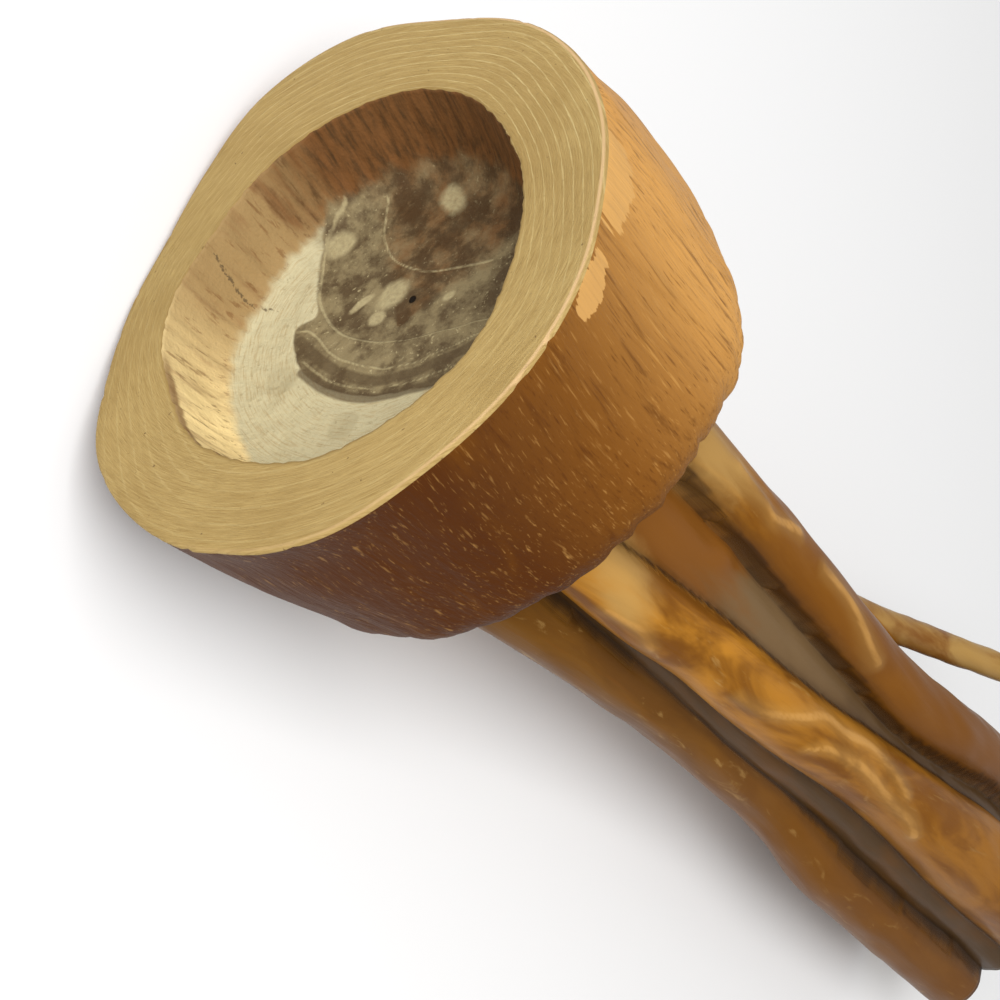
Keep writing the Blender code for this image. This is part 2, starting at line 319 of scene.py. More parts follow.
# The bundle of stems that the head runs out into. They grew together, so each keeps its own round
# back, and creases part them, darkened by painted shade in the varnish. The wood swells and thins
# along each stem, and bark-like ridges stand on two of them.

# Each row is a depth, an angle around the middle from straight ahead, a distance and a radius.
STEMS = {
    "front_stem": (
        (0.060, -24, 0.037, 0.012), (0.100, -22, 0.037, 0.012), (0.140, -17, 0.037, 0.013),
        (0.180, -11, 0.037, 0.0132), (0.220, -8, 0.037, 0.0136), (0.260, -4, 0.037, 0.014),
        (0.300, 2, 0.037, 0.0145), (0.340, 6, 0.037, 0.0157), (0.380, 9, 0.0365, 0.018),
        (0.430, 12, 0.035, 0.021), (0.580, 20, 0.033, 0.024),
    ),
    "sunken_stem": (
        (0.060, 16, 0.022, 0.017), (0.100, 16, 0.022, 0.017), (0.180, 22, 0.021, 0.0175),
        (0.260, 24, 0.021, 0.0175), (0.300, 26, 0.021, 0.0175), (0.340, 31, 0.021, 0.0175),
        (0.420, 43, 0.021, 0.0175), (0.580, 66, 0.022, 0.017),
    ),
    "upper_stem": (
        (0.060, 58, 0.042, 0.0122), (0.100, 57, 0.042, 0.012), (0.140, 55, 0.042, 0.0118),
        (0.180, 55, 0.042, 0.0125), (0.260, 52, 0.042, 0.0125), (0.300, 52, 0.042, 0.0138),
        (0.340, 57, 0.0425, 0.0143), (0.380, 66, 0.043, 0.0144), (0.420, 76, 0.043, 0.0146),
        (0.580, 108, 0.042, 0.015),
    ),
    "upper_outer_stem": (
        (0.060, 90, 0.030, 0.015), (0.100, 90, 0.030, 0.015), (0.260, 88, 0.030, 0.015),
        (0.340, 95, 0.030, 0.015), (0.420, 112, 0.030, 0.016), (0.580, 140, 0.031, 0.017),
    ),
    "lower_stem": (
        (0.060, -42, 0.024, 0.016), (0.100, -42, 0.024, 0.016), (0.180, -36, 0.024, 0.016),
        (0.260, -33, 0.024, 0.016), (0.340, -29, 0.024, 0.016), (0.420, -28, 0.025, 0.0165),
        (0.580, -28, 0.026, 0.017),
    ),
    "lower_outer_stem": (
        (0.060, -62, 0.047, 0.0135), (0.100, -62, 0.0455, 0.0135), (0.140, -62, 0.042, 0.0135),
        (0.180, -62, 0.0395, 0.0135), (0.220, -62, 0.037, 0.0135), (0.300, -62, 0.037, 0.0135),
        (0.340, -62, 0.0405, 0.014), (0.380, -62, 0.0445, 0.0145), (0.420, -62, 0.0455, 0.015),
        (0.580, -60, 0.046, 0.016),
    ),
    "flank_stem": (
        (0.060, -92, 0.033, 0.017), (0.100, -92, 0.033, 0.017), (0.260, -90, 0.031, 0.0165),
        (0.420, -88, 0.033, 0.017), (0.580, -84, 0.036, 0.018),
    ),
    "under_stem": (
        (0.060, -125, 0.031, 0.019), (0.100, -125, 0.031, 0.019), (0.250, -117, 0.030, 0.018),
        (0.350, -113, 0.030, 0.018), (0.580, -104, 0.031, 0.018),
    ),
    "back_stem": (
        (0.060, 170, 0.031, 0.019), (0.100, 170, 0.031, 0.019), (0.250, 178, 0.030, 0.018),
        (0.350, 182, 0.030, 0.018), (0.580, 189, 0.032, 0.018),
    ),
    "back_upper_stem": (
        (0.060, 122, 0.031, 0.019), (0.100, 122, 0.031, 0.019), (0.250, 126, 0.030, 0.018),
        (0.350, 128, 0.030, 0.018), (0.580, 150, 0.031, 0.018),
    ),
    "under_shoot": (
        (0.400, -132, 0.028, 0.013), (0.470, -126, 0.033, 0.013), (0.530, -116, 0.043, 0.013),
        (0.580, -110, 0.054, 0.013),
    ),
}
HEARTWOOD_RADIUS = 0.026
SAWN_LENGTH = 0.540
SAW_TIP = (3.0, -4.0)
NEAR_END = 0.030
CREASE_BLEND = 0.0008
UNDERSIDE_ROWS = 10
BUNDLE_ROWS = 140
END_ROWS = 14
END_SHARES = (0.97, 0.04)
STEMS_START_BELOW = 0.001
FILLET = 0.006
SWELL_SIZE = (0.025, 0.025, 0.055)
SWELL = 0.0008
RIPPLE_SIZE = (0.006, 0.006, 0.028)
RIPPLE = 0.00035
RIDGE_HEIGHT = 0.0007
RIDGE_WIDTH = 0.0022
RIDGES_END = 0.37
# Each ridge is a line of depths and angles, as the stems' rows begin.
RIDGES = (
    ((0.120, -23), (0.129, -20), (0.139, -19), (0.149, -22)),
    ((0.197, -11), (0.213, -8), (0.228, -2), (0.249, 9),
     (0.264, 10), (0.286, 14), (0.304, 13), (0.325, 9)),
    ((0.252, -7), (0.256, -3), (0.259, -1), (0.275, 3),
     (0.296, 4), (0.323, 2), (0.341, 2), (0.354, -2)),
    ((0.122, 53), (0.133, 51), (0.144, 50), (0.151, 49), (0.163, 53), (0.172, 55)),
    ((0.193, 52), (0.213, 51), (0.231, 47), (0.244, 44), (0.257, 42)),
)
KNOT = (0.152, 32)
KNOT_SIZE = 0.007
KNOT_HEIGHT = 0.0018
FLAT_RADIUS = 0.048


def stem_reach(turn, depth):
    """How far each stem reaches out from the middle at each angle and depth, as stems by places."""
    depth = np.broadcast_to(depth, turn.shape)
    reaches = [np.full(turn.shape, HEARTWOOD_RADIUS)]
    for stations in STEMS.values():
        angle, distance, radius = along(stations, depth)
        angle = np.radians(angle)
        middle = distance * (np.sin(angle) * np.cos(turn) - np.cos(angle) * np.sin(turn))
        spread = radius ** 2 - distance ** 2 + middle ** 2
        grown = (spread > 0) & (middle > 0) & (depth >= stations[0][0])
        reaches.append(np.where(grown, middle + np.sqrt(np.maximum(spread, 0)), 0.0))
    return np.array(reaches)


def blend_out(reaches):
    """The outer skin over all the stems, with the creases between them slightly filled."""
    order = np.sort(reaches, axis=0)
    most, next_most = order[-1], order[-2]
    fill = np.maximum(CREASE_BLEND - (most - next_most), 0.0) / CREASE_BLEND
    return most + fill ** 2 * CREASE_BLEND / 4


def rolled_out(turn, depth):
    """Places on the bundle as millimetres around it and along it, as if its skin were rolled flat."""
    angle = (np.degrees(turn) + 90.0 + 180.0) % 360.0 - 180.0
    return np.stack([np.radians(angle) * FLAT_RADIUS, np.broadcast_to(depth, turn.shape)], axis=1) * 1000


def flat_line(stations):
    """A line of depths and angles on the bundle, rolled out the same way."""
    depths, angles = np.array(stations).T
    return smooth_line(np.stack([np.radians(angles) * FLAT_RADIUS, depths], axis=1) * 1000)


saw_normal = (Matrix.Rotation(math.radians(SAW_TIP[0]), 3, "X")
              @ Matrix.Rotation(math.radians(SAW_TIP[1]), 3, "Y")) @ Vector((0, 0, 1))
end_middle = Vector((*along(CENTRE_LINE, SAWN_LENGTH)[:, 0], -SAWN_LENGTH))


def sawn_depth(points):
    """The depth of the tipped saw cut below or above each point."""
    offset = points[:, :2] - np.array(end_middle[:2])
    return SAWN_LENGTH + (offset @ np.array(saw_normal[:2])) / saw_normal[2]


def grown_out(row, depth):
    """How far swellings, ripples, ridges and the knot stand out along a row of the bundle."""
    flat = rolled_out(turns, depth)
    out = SWELL * uneven(row, SWELL_SIZE, seed=4.5) + RIPPLE * uneven(row, RIPPLE_SIZE, seed=9.1)
    if depth.min() < RIDGES_END:
        for ridge in RIDGES:
            near = distance_to(flat_line(ridge), flat) / 1000
            out += RIDGE_HEIGHT * np.exp(-(near / RIDGE_WIDTH) ** 2)
    around_knot = distance_to(flat_line((KNOT, (KNOT[0] + 0.001, KNOT[1]))), flat) / 1000
    out += KNOT_HEIGHT * np.exp(-(around_knot / KNOT_SIZE) ** 2)
    return out


bundle_rows = []
base_ring_radius = side_radius(np.ones(COLUMNS)) - BASE_ROUNDING
stem_start = base_depth + STEMS_START_BELOW
for k in range(1, UNDERSIDE_ROWS + 1):
    share = k / UNDERSIDE_ROWS
    root = blend_out(stem_reach(turns, stem_start)) + FILLET
    radius = base_ring_radius + (root - base_ring_radius) * share
    bundle_rows.append(ring(radius, base_depth + STEMS_START_BELOW * share))
for k in range(1, BUNDLE_ROWS + 1):
    share = k / BUNDLE_ROWS
    depth = stem_start + (SAWN_LENGTH - stem_start) * share
    flare = FILLET * np.maximum(1 - (depth - stem_start) / FILLET, 0) ** 2
    row = ring(blend_out(stem_reach(turns, depth)) + flare, depth)
    row[:, :2] += outward * grown_out(row, depth)[:, None]
    tipping = np.clip((depth - SAWN_LENGTH + NEAR_END) / NEAR_END, 0, 1)
    row[:, 2] -= tipping * (sawn_depth(row) - SAWN_LENGTH)
    bundle_rows.append(row)
end_rows = []
for share in np.linspace(*END_SHARES, END_ROWS):
    middle = np.array(end_middle)
    row = middle + share * (bundle_rows[-1] - middle)
    row[:, 2] = -sawn_depth(row)
    end_rows.append(row)


# The slender shoot that winds around the back of the bundle and leaves it sideways, sawn off
# square. It grew together with the stems it crosses. Each row is read as the stems' rows are.
SIDE_SHOOT = (
    (0.070, 222, 0.034, 0.011), (0.120, 200, 0.041, 0.010), (0.195, 155, 0.042, 0.0088),
    (0.272, 106, 0.0405, 0.0075), (0.340, 98, 0.059, 0.0068), (0.400, 94, 0.078, 0.0066),
    (0.462, 92, 0.095, 0.0064),
)
SHOOT_COLUMNS = 36
SHOOT_ROWS = 96
SHOOT_RIPPLE_SIZE = (0.005, 0.005, 0.020)
SHOOT_RIPPLE = 0.0003
SHOOT_END_SHARES = (0.92, 0.6, 0.3)

shoot_turns = np.linspace(0.0, 2 * math.pi, SHOOT_COLUMNS, endpoint=False)
shoot_depths = np.linspace(SIDE_SHOOT[0][0], SIDE_SHOOT[-1][0], SHOOT_ROWS)


def shoot_axis(depth):
    """The middle of the shoot and its radius at each depth."""
    angle, distance, radius = along(SIDE_SHOOT, depth)
    aside, ahead = along(CENTRE_LINE, depth)
    angle = np.radians(angle)
    return aside + distance * np.sin(angle), ahead - distance * np.cos(angle), radius


shoot_rows = []
for depth in shoot_depths:
    middle_x, middle_y, radius = (value[0] for value in shoot_axis(depth))
    row = np.stack([middle_x + radius * np.cos(shoot_turns), middle_y + radius * np.sin(shoot_turns),
                    np.full(SHOOT_COLUMNS, -depth)], axis=1)
    ripple = SHOOT_RIPPLE * uneven(row, SHOOT_RIPPLE_SIZE, seed=7.7)
    row[:, 0] += ripple * np.cos(shoot_turns)
    row[:, 1] += ripple * np.sin(shoot_turns)
    shoot_rows.append(row)
shoot_end = shoot_rows[-1]
shoot_middle = shoot_end.mean(axis=0)
for share in SHOOT_END_SHARES:
    shoot_rows.append(shoot_middle + share * (shoot_end - shoot_middle))


# The skin of the whole piece: the rows joined to one closed mesh, from the middle of the hollow's
# floor out over the rim, down the side and along the stems to the sawn end, and the shoot joined on.
HOLLOW, RIM, VARNISHED, SAWN = range(4)
FINISH_NAMES = ("hollow_wood", "sawn_rim", "varnished_wood", "sawn_end")
finishes = [bpy.data.materials.new(name) for name in FINISH_NAMES]
lay_matrix = np.array(laid_down)


def laid(points):
    """Upright points as they lie on the table, kept inside the box of the part."""
    placed = points @ lay_matrix[:3, :3].T + lay_matrix[:3, 3]
    return np.clip(placed, np.array(cad_low), np.array(cad_high))


def close_skin(name, rows, zones):
    """A closed mesh over rows of points, with a fan at either end and each band in its zone."""
    count = len(rows[0])
    points = np.concatenate(rows + [[rows[0].mean(axis=0)], [rows[-1].mean(axis=0)]])
    columns = np.arange(count)
    beside = (columns + 1) % count
    faces = []
    for k in range(len(rows) - 1):
        low, high = k * count, (k + 1) * count
        faces += np.stack([high + columns, high + beside, low + beside, low + columns], axis=1).tolist()
    last = (len(rows) - 1) * count
    first_tip = np.full(count, len(rows) * count)
    faces += np.stack([columns, beside, first_tip], axis=1).tolist()
    faces += np.stack([last + beside, last + columns, first_tip + 1], axis=1).tolist()
    mesh = bpy.data.meshes.new(name)
    mesh.from_pydata(laid(points).tolist(), [], faces)
    for finish in finishes:
        mesh.materials.append(finish)
    bands = list(zones) + [zones[0], zones[-1]]
    mesh.polygons.foreach_set("material_index", np.repeat(bands, count))
    thing = bpy.data.objects.new(name, mesh)
    bpy.context.scene.collection.objects.link(thing)
    return thing


zones = ([HOLLOW] * (len(hollow_rows) - 1) + [RIM] * len(rim_rows) + [VARNISHED] * len(side_rows)
         + [VARNISHED] * len(bundle_rows) + [SAWN] * len(end_rows))
whole = close_skin("whole_skin", hollow_rows + rim_rows + side_rows + bundle_rows + end_rows, zones)
shoot_zones = [VARNISHED] * (SHOOT_ROWS - 1) + [SAWN] * (len(shoot_rows) - SHOOT_ROWS)
shoot = close_skin("shoot_skin", shoot_rows, shoot_zones)
joining = whole.modifiers.new("shoot_joined", "BOOLEAN")
joining.operation = "UNION"
joining.solver = "EXACT"
joining.object = shoot
grown = whole.evaluated_get(bpy.context.evaluated_depsgraph_get())
skin = bpy.data.meshes.new_from_object(grown)
branch = bpy.data.objects.new("twisted_branch_wood", skin)
bpy.context.scene.collection.objects.link(branch)
for guide in (whole, shoot):
    bpy.data.objects.remove(guide, do_unlink=True)
skin.shade_smooth()

lying = np.empty(len(skin.vertices) * 3)
skin.vertices.foreach_get("co", lying)
lift_matrix = np.array(laid_down.inverted())
upright = lying.reshape(-1, 3) @ lift_matrix[:3, :3].T + lift_matrix[:3, 3]
depths = np.maximum(-upright[:, 2], 0.0)
middles = along(CENTRE_LINE, depths).T
from_middle = upright[:, :2] - middles
angles = np.arctan2(from_middle[:, 1], from_middle[:, 0])
radii = np.hypot(from_middle[:, 0], from_middle[:, 1])


def set_mark(name, values):
    """Stores a value for every point of the skin, for the finishes to read."""
    kind = "FLOAT_VECTOR" if values.ndim == 2 else "FLOAT"
    layer = skin.attributes.new(name, kind, "POINT")
    layer.data.foreach_set("vector" if values.ndim == 2 else "value", values.astype(np.float32).ravel())


# The finish of the sawn rim: bare straw-coloured end grain, brushed by the saw, with pale growth
# rings that crowd at one side and run out at the other, and a painted highlight along the rounded
# outer edge on the side where the light falls.
RIM_STRAW = (182, 155, 98)
RIM_SHADOW = (150, 121, 68)
RIM_PALE_LINE = (206, 184, 128)
RIM_EDGE_HIGHLIGHT = (214, 178, 132)
RIM_SPECK = (96, 70, 40)
RIM_ROUGHNESS = 0.62
RIM_RELIEF = 0.0004
RING_WAVE_SIZE = 0.045
RING_WAVE = 0.5
# How many growth rings cross the rim, every 20 degrees.
RING_COUNTS = (10, 10, 11, 11, 10, 9, 7, 6, 6, 6, 5, 5, 5, 5, 6, 7, 8, 9)

mouth_here = around(MOUTH_RADII, angles)
rim_here = around(RIM_RADII, angles)
out_share = (radii - mouth_here) / (rim_here - mouth_here)
ring_wave = RING_WAVE * uneven(upright, RING_WAVE_SIZE, seed=14.0)
set_mark("growth_ring", out_share * around(RING_COUNTS, angles) + ring_wave)
set_mark("out_share", out_share)
set_mark("from_edge", (rim_here - radii) * 1000)
set_mark("round_grain", np.stack([np.cos(angles) * 2.5, np.sin(angles) * 2.5, radii * 260], axis=1))
set_mark("upright", upright)


def facing(angle, spread):
    """A share that is 1 at an angle around the middle and falls to 0 beyond a spread."""
    off = np.abs((np.degrees(angles) - angle + 180.0) % 360.0 - 180.0)
    return np.clip(1.5 - off / spread, 0.0, 1.0)


def paint(colour):
    """A colour on the usual 0 to 255 scale as the light-linear value that a shader takes."""
    shares = [value / 255 for value in colour]
    return [((s + 0.055) / 1.055) ** 2.4 if s > 0.04045 else s / 12.92 for s in shares] + [1.0]


def add(finish, kind, inputs=None, output=0, **settings):
    """Adds a shader node, with its inputs set or linked, and gives its output."""
    made = finish.node_tree.nodes.new(kind)
    for name, value in settings.items():
        setattr(made, name, value)
    for place, value in (inputs or {}).items():
        if isinstance(value, bpy.types.NodeSocket):
            finish.node_tree.links.new(value, made.inputs[place])
        else:
            made.inputs[place].default_value = value
    return made.outputs[output]


def mark(finish, name):
    """A value that was stored on the skin."""
    return add(finish, "ShaderNodeAttribute", output="Fac", attribute_name=name)


def stretched(finish, name, scale=(1.0, 1.0, 1.0)):
    """A place that was stored on the skin, scaled along each way, for a grain to be drawn on."""
    place = add(finish, "ShaderNodeAttribute", output="Vector", attribute_name=name)
    return add(finish, "ShaderNodeVectorMath", {0: place, 1: scale}, operation="MULTIPLY")


def cloud(finish, place, scale=1.0, detail=3.0, roughness=0.55, distortion=0.0):
    """Soft random values from 0 to 1."""
    inputs = {"Vector": place, "Scale": scale, "Detail": detail, "Roughness": roughness,
              "Distortion": distortion}
    return add(finish, "ShaderNodeTexNoise", inputs)


def rise(finish, value, start, end, low=0.0, high=1.0):
    """A value that climbs from low to high while another one goes from start to end."""
    inputs = {"Value": value, "From Min": start, "From Max": end, "To Min": low, "To Max": high}
    return add(finish, "ShaderNodeMapRange", inputs, interpolation_type="SMOOTHSTEP")


def calc(finish, operation, *values):
    """Plain arithmetic on shader values."""
    return add(finish, "ShaderNodeMath", dict(enumerate(values)), operation=operation)


def over(finish, share, under, colour):
    """A colour laid over another one by a share."""
    colour = paint(colour) if isinstance(colour, tuple) else colour
    under = paint(under) if isinstance(under, tuple) else under
    return add(finish, "ShaderNodeMix", {0: share, 6: under, 7: colour}, output=2, data_type="RGBA")


def line_near(finish, value, half_width, soft):
    """A share that is 1 within a half width of zero and fades out beyond it."""
    return rise(finish, calc(finish, "ABSOLUTE", value), half_width + soft, half_width)


def finish_off(finish, colour, roughness, height, reach, shine=0.12):
    """Joins a colour and the height of fine relief, in metres, to the finish's shader."""
    shader = finish.node_tree.nodes["Principled BSDF"]
    links = finish.node_tree.links
    links.new(colour, shader.inputs["Base Color"])
    if isinstance(roughness, bpy.types.NodeSocket):
        links.new(roughness, shader.inputs["Roughness"])
    else:
        shader.inputs["Roughness"].default_value = roughness
    shader.inputs["Specular IOR Level"].default_value = shine
    inputs = {"Height": height, "Distance": reach, "Strength": 1.0}
    links.new(add(finish, "ShaderNodeBump", inputs), shader.inputs["Normal"])


sawn_rim = finishes[RIM]
sawn_rim.use_nodes = True
set_mark("clear_rings", facing(15, 62))
# Where the painted highlight on the rim's rounded outer edge goes: the side where the light falls.
set_mark("lit_edge_highlight", facing(330, 80))
brushed = cloud(sawn_rim, stretched(sawn_rim, "round_grain"), 3.0, 5.0, 0.6)
fine_brushed = cloud(sawn_rim, stretched(sawn_rim, "round_grain", (1.0, 1.0, 4.0)), 4.0, 5.0, 0.7)
broad = cloud(sawn_rim, stretched(sawn_rim, "upright"), 22.0, 3.0)
ring_value = calc(sawn_rim, "MULTIPLY_ADD", brushed, 0.35, mark(sawn_rim, "growth_ring"))
in_ring = calc(sawn_rim, "SUBTRACT", calc(sawn_rim, "FRACT", ring_value), 0.5)
straw = over(sawn_rim, rise(sawn_rim, fine_brushed, 0.35, 0.75), RIM_STRAW, RIM_SHADOW)
straw = over(sawn_rim, rise(sawn_rim, broad, 0.42, 0.7, 0.0, 0.45), straw, RIM_SHADOW)
late_wood = rise(sawn_rim, in_ring, -0.1, 0.42, 0.0, 0.16)
straw = over(sawn_rim, late_wood, straw, RIM_SHADOW)
faint = calc(sawn_rim, "MULTIPLY", rise(sawn_rim, brushed, 0.35, 0.65, 0.3, 1.0),
             calc(sawn_rim, "MULTIPLY_ADD", mark(sawn_rim, "clear_rings"), 0.55, 0.24))
ring_line = calc(sawn_rim, "MULTIPLY", line_near(sawn_rim, in_ring, 0.015, 0.075), faint)
straw = over(sawn_rim, ring_line, straw, RIM_PALE_LINE)
specks = cloud(sawn_rim, stretched(sawn_rim, "upright"), 420.0, 2.0)
straw = over(sawn_rim, rise(sawn_rim, specks, 0.70, 0.76, 0.0, 0.7), straw, RIM_SPECK)
# Painted highlight: a pale line along the rounded outer edge, on the lit side.
edge_line = line_near(sawn_rim, calc(sawn_rim, "SUBTRACT", mark(sawn_rim, "from_edge"), 1.0), 0.15, 0.55)
highlight_share = calc(sawn_rim, "MULTIPLY", mark(sawn_rim, "lit_edge_highlight"), 0.8)
edge_line = calc(sawn_rim, "MULTIPLY", edge_line, highlight_share)
straw = over(sawn_rim, edge_line, straw, RIM_EDGE_HIGHLIGHT)
inner_edge = rise(sawn_rim, mark(sawn_rim, "out_share"), 0.05, 0.0, 0.0, 0.6)
straw = over(sawn_rim, inner_edge, straw, RIM_SHADOW)
rim_relief = calc(sawn_rim, "MULTIPLY_ADD", ring_line, 0.25, fine_brushed)
finish_off(sawn_rim, straw, RIM_ROUGHNESS, rim_relief, RIM_RELIEF)


# The finish of the hollow: tan sapwood down the wall with torn dark ticks, a painted peach glow where
# the light falls on the lower wall, darker wood under painted shade on the wall away from the light,
# a painted shadow band under the mouth's edge on the lit side, a pale scraped ring at its foot, and a
# floor of old grey-brown heartwood with curved cutter marks, pale blotches where the wood tore out,
# a short crack in the wall and one small bore, painted black as shade.
WALL_TAN = (158, 130, 86)
WALL_PAINTED_GLOW = (238, 212, 152)
WALL_DARK_WOOD_AND_SHADE = (114, 76, 41)
WALL_RED = (120, 76, 46)
FOOT_PALE = (192, 182, 146)
FLOOR_GREY = (138, 123, 90)
FLOOR_DARK = (88, 72, 50)
FLOOR_BROWN = (76, 54, 31)
FLOOR_PALE = (178, 164, 124)
BORE_PAINTED_SHADE = (22, 15, 9)
HOLLOW_ROUGHNESS = 0.7
HOLLOW_RELIEF = 0.0007
# Lines and oval spots on the floor, in millimetres on the rim's plane.
CUTTER_LINES = (
    ((15, 54), (6, 52), (-1, 48), (-8, 39), (-13, 30), (-14, 16), (-10, 5), (-1, -7), (10, -16),
     (22, -25), (36, -34)),
    ((26, 48), (21, 43), (16, 36), (14, 25), (18, 13), (27, 2), (36, -6)),
    ((-24, 26), (-21, 23), (-20, 17), (-20, 10), (-18, 2), (-12, -10), (-3, -19), (8, -24), (20, -30)),
    ((-28, 13), (-25, -2), (-17, -16), (-6, -26), (5, -32), (18, -38)),
)
DARK_BANDS = (
    ((-25, 22), (-24, 11), (-21, -2), (-14, -15), (-4, -23), (7, -28), (18, -33)),
    ((-30, 9), (-27, -6), (-19, -20), (-8, -29), (4, -36), (16, -42)),
)
BLOTCHES = (((4, 46), 6.5, 4.5), ((6, 13), 8.0, 5.0), ((-2, 19), 5.5, 1.6), ((-2, 9), 3.5, 3.0),
            ((40, 28), 5.0, 7.0), ((19, -5), 3.0, 2.0))
FAINT_SPOTS = (((-37, 11), 6.0, 6.0), ((-30, -23), 6.0, 5.0))
BORE_AT = (10, 5)
# The crack in the wall, as angles and depths.
CRACK = ((121, 0.004), (124, 0.014), (126, 0.024), (124, 0.029))
WALL_RADIUS = 0.058

floor_places = upright[:, :2] * 1000
set_mark("dark_floor", depth_inside(DARK_FLOOR, floor_places))
cutter = np.min([distance_to(smooth_line(line), floor_places) for line in CUTTER_LINES], axis=0)
set_mark("cutter_line", cutter)
banded = np.min([distance_to(smooth_line(line), floor_places) for line in DARK_BANDS], axis=0)
set_mark("dark_band", banded)


def spot_share(spots):
    """How far each place on the floor lies from the nearest oval spot, where 1 is its edge."""
    aside, ahead = floor_places.T
    return np.min([np.hypot((aside - x) / wide, (ahead - y) / tall)
                   for (x, y), wide, tall in spots], axis=0)


set_mark("blotch", spot_share(BLOTCHES))
set_mark("faint_spot", spot_share(FAINT_SPOTS))
set_mark("bore", np.hypot(floor_places[:, 0] - BORE_AT[0], floor_places[:, 1] - BORE_AT[1]))
to_wall = np.array([math.radians(WALL_RADIUS), 1.0]) * 1000
wall_flat = np.stack([np.degrees(angles) % 360.0, depths], axis=1) * to_wall
set_mark("crack", distance_to(smooth_line(np.array(CRACK) * to_wall), wall_flat))
set_mark("mouth_share", radii / mouth_here)
set_mark("below_mouth", depths * 1000)
# Painted light: the lower wall, where the light falls into the hollow, gets a peach glow.
set_mark("wall_painted_glow", facing(200, 45))
# Darker wood with painted shade over it, on the wall away from the light and the floor beside it.
set_mark("wall_shade_and_dark_wood", facing(30, 58))

hollow_wood = finishes[HOLLOW]
hollow_wood.use_nodes = True
level = stretched(hollow_wood, "upright")
axial = cloud(hollow_wood, stretched(hollow_wood, "upright", (520.0, 520.0, 40.0)), 1.0, 4.0, 0.6)
wide_axial = cloud(hollow_wood, stretched(hollow_wood, "upright", (120.0, 120.0, 14.0)), 1.0, 4.0, 0.6)
mottle = cloud(hollow_wood, level, 90.0, 6.0, 0.65)
fine = cloud(hollow_wood, level, 700.0, 4.0, 0.6)
concentric = cloud(hollow_wood, stretched(hollow_wood, "round_grain", (1.0, 1.0, 3.0)), 3.0, 4.0, 0.6)
wobble = calc(hollow_wood, "MULTIPLY_ADD", mottle, 6.0, -3.0)
# Painted light: the wall turns from tan to a peach glow on the side where the light falls.
wall = over(hollow_wood, mark(hollow_wood, "wall_painted_glow"), WALL_TAN, WALL_PAINTED_GLOW)
wall = over(hollow_wood, rise(hollow_wood, wide_axial, 0.50, 0.72, 0.0, 0.6), wall, WALL_RED)
wall = over(hollow_wood, rise(hollow_wood, axial, 0.55, 0.66, 0.0, 0.55), wall, WALL_DARK_WOOD_AND_SHADE)
# The wall away from the light turns dark brown: partly darker wood, partly painted shade.
shaded_dark = calc(hollow_wood, "MULTIPLY_ADD", wide_axial, 0.6, calc(
    hollow_wood, "SUBTRACT", mark(hollow_wood, "wall_shade_and_dark_wood"), 0.3))
shaded_dark = rise(hollow_wood, shaded_dark, 0.25, 0.75)
wall = over(hollow_wood, shaded_dark, wall, over(
    hollow_wood, rise(hollow_wood, axial, 0.35, 0.75), WALL_DARK_WOOD_AND_SHADE, FLOOR_BROWN))
foot = calc(hollow_wood, "MULTIPLY_ADD", wide_axial, 0.05, mark(hollow_wood, "mouth_share"))
on_floor = rise(hollow_wood, foot, 0.945, 0.905)
pale = over(hollow_wood, rise(hollow_wood, concentric, 0.45, 0.7, 0.0, 0.5), FOOT_PALE, WALL_TAN)
pale = over(hollow_wood, rise(hollow_wood, axial, 0.60, 0.70, 0.0, 0.4), pale, FLOOR_GREY)
# The foot ring darkens on the same side: partly darker wood, partly painted shade.
pale = over(hollow_wood, shaded_dark, pale, over(hollow_wood, rise(
    hollow_wood, mottle, 0.4, 0.65), FLOOR_DARK, FLOOR_GREY))
# Painted shadow: a dark brown band just below the mouth's edge, on the lit side of the wall.
mouth_shadow_depth = calc(hollow_wood, "MULTIPLY_ADD", axial, 1.5, mark(hollow_wood, "below_mouth"))
mouth_shadow_side = rise(hollow_wood, mark(hollow_wood, "wall_painted_glow"), 0.55, 0.95, 0.0, 0.75)
mouth_shadow = calc(hollow_wood, "MULTIPLY", rise(hollow_wood, mouth_shadow_depth, 5.0, 3.0), mouth_shadow_side)
wall = over(hollow_wood, mouth_shadow, wall, WALL_DARK_WOOD_AND_SHADE)
base = over(hollow_wood, on_floor, wall, pale)
floor_depth = calc(hollow_wood, "MULTIPLY_ADD", wobble, 0.35, mark(hollow_wood, "dark_floor"))
grey = over(hollow_wood, rise(hollow_wood, mottle, 0.38, 0.62), FLOOR_DARK, FLOOR_GREY)
grey = over(hollow_wood, rise(hollow_wood, fine, 0.60, 0.72, 0.0, 0.8), grey, FLOOR_PALE)
grey = over(hollow_wood, rise(hollow_wood, fine, 0.36, 0.28, 0.0, 0.7), grey, FLOOR_DARK)
# The floor on the side away from the light turns brown: partly darker wood, partly painted shade.
far_floor = rise(hollow_wood, calc(hollow_wood, "MULTIPLY_ADD", wide_axial, 0.5, mark(
    hollow_wood, "wall_shade_and_dark_wood")), 1.02, 1.38, 0.0, 0.9)
grey = over(hollow_wood, far_floor, grey, over(hollow_wood, rise(
    hollow_wood, mottle, 0.42, 0.66), FLOOR_BROWN, WALL_DARK_WOOD_AND_SHADE))
off_wall = rise(hollow_wood, foot, 0.965, 0.93)
in_dark = calc(hollow_wood, "MULTIPLY", rise(hollow_wood, floor_depth, -0.4, 0.5), off_wall)
base = over(hollow_wood, in_dark, base, grey)
band = rise(hollow_wood, mark(hollow_wood, "dark_band"), 2.6, 1.4, 0.0, 0.75)
base = over(hollow_wood, band, base, FLOOR_DARK)
torn = calc(hollow_wood, "MULTIPLY_ADD", wobble, 0.16, mark(hollow_wood, "blotch"))
torn_share = rise(hollow_wood, fine, 0.2, 0.7, 0.55, 0.9)
